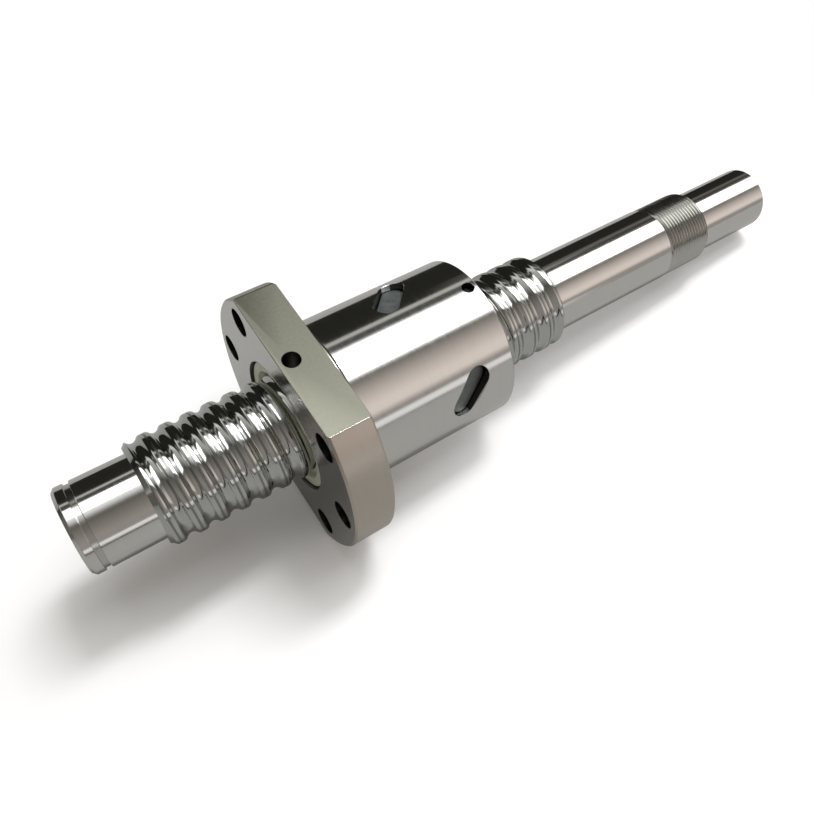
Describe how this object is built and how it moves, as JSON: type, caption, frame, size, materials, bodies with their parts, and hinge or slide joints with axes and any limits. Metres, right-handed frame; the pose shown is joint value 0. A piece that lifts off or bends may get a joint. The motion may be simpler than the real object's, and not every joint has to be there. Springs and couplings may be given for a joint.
{
  "type": "ball screw",
  "caption": "Ground screw shaft with machined journals and a flanged ball nut with inner return caps that turns and travels along it.",
  "frame": {"origin": "on the screw axis, halfway along the shaft", "axes": "+X along the screw axis from the near journal to the drive journal; +Z is the normal of the flange flat with the lubrication port; +Y completes the right-handed frame"},
  "size_m": [0.2026, 0.062, 0.048],
  "materials": {
    "ground_shaft_steel": "hardened and ground, bright",
    "ground_nut_steel": "hardened, cylindrical surface ground, flange satin",
    "ball_steel": "polished bearing steel",
    "cap_metal": "matt grey sintered metal",
    "wiper_plastic": "cream moulded acetal",
    "spring_steel": "drawn spring wire",
    "pin_steel": "blackened steel"
  },
  "bodies": {
    "screw": {"screw_shaft": "ground_shaft_steel"},
    "travel": {"wiper_spring_front": "spring_steel", "wiper_spring_rear": "spring_steel"},
    "nut": {"nut_body": "ground_nut_steel", "wiper_front": "wiper_plastic", "wiper_rear": "wiper_plastic", "wiper_pin_front": "pin_steel", "wiper_pin_rear": "pin_steel", "return_cap_1": "cap_metal", "return_cap_2": "cap_metal", "return_cap_3": "cap_metal", "return_cap_4": "cap_metal", "ball_circuit_1": "ball_steel", "ball_circuit_2": "ball_steel", "ball_circuit_3": "ball_steel", "ball_circuit_4": "ball_steel"}
  },
  "joints": [
    {"name": "nut_travel", "type": "slide", "parent": "screw", "child": "travel", "axis": [1, 0, 0], "range_m": [-0.032, 0.022]},
    {"name": "nut_turn", "type": "hinge", "parent": "travel", "child": "nut", "pos_m": [-0.05225, 0, 0], "axis": [1, 0, 0], "range_deg": [-2304, 1584]}
  ],
  "couplings": [
    {"joint": "nut_travel", "follows": "nut_turn", "m_per_rad": 0.00079577}
  ]
}
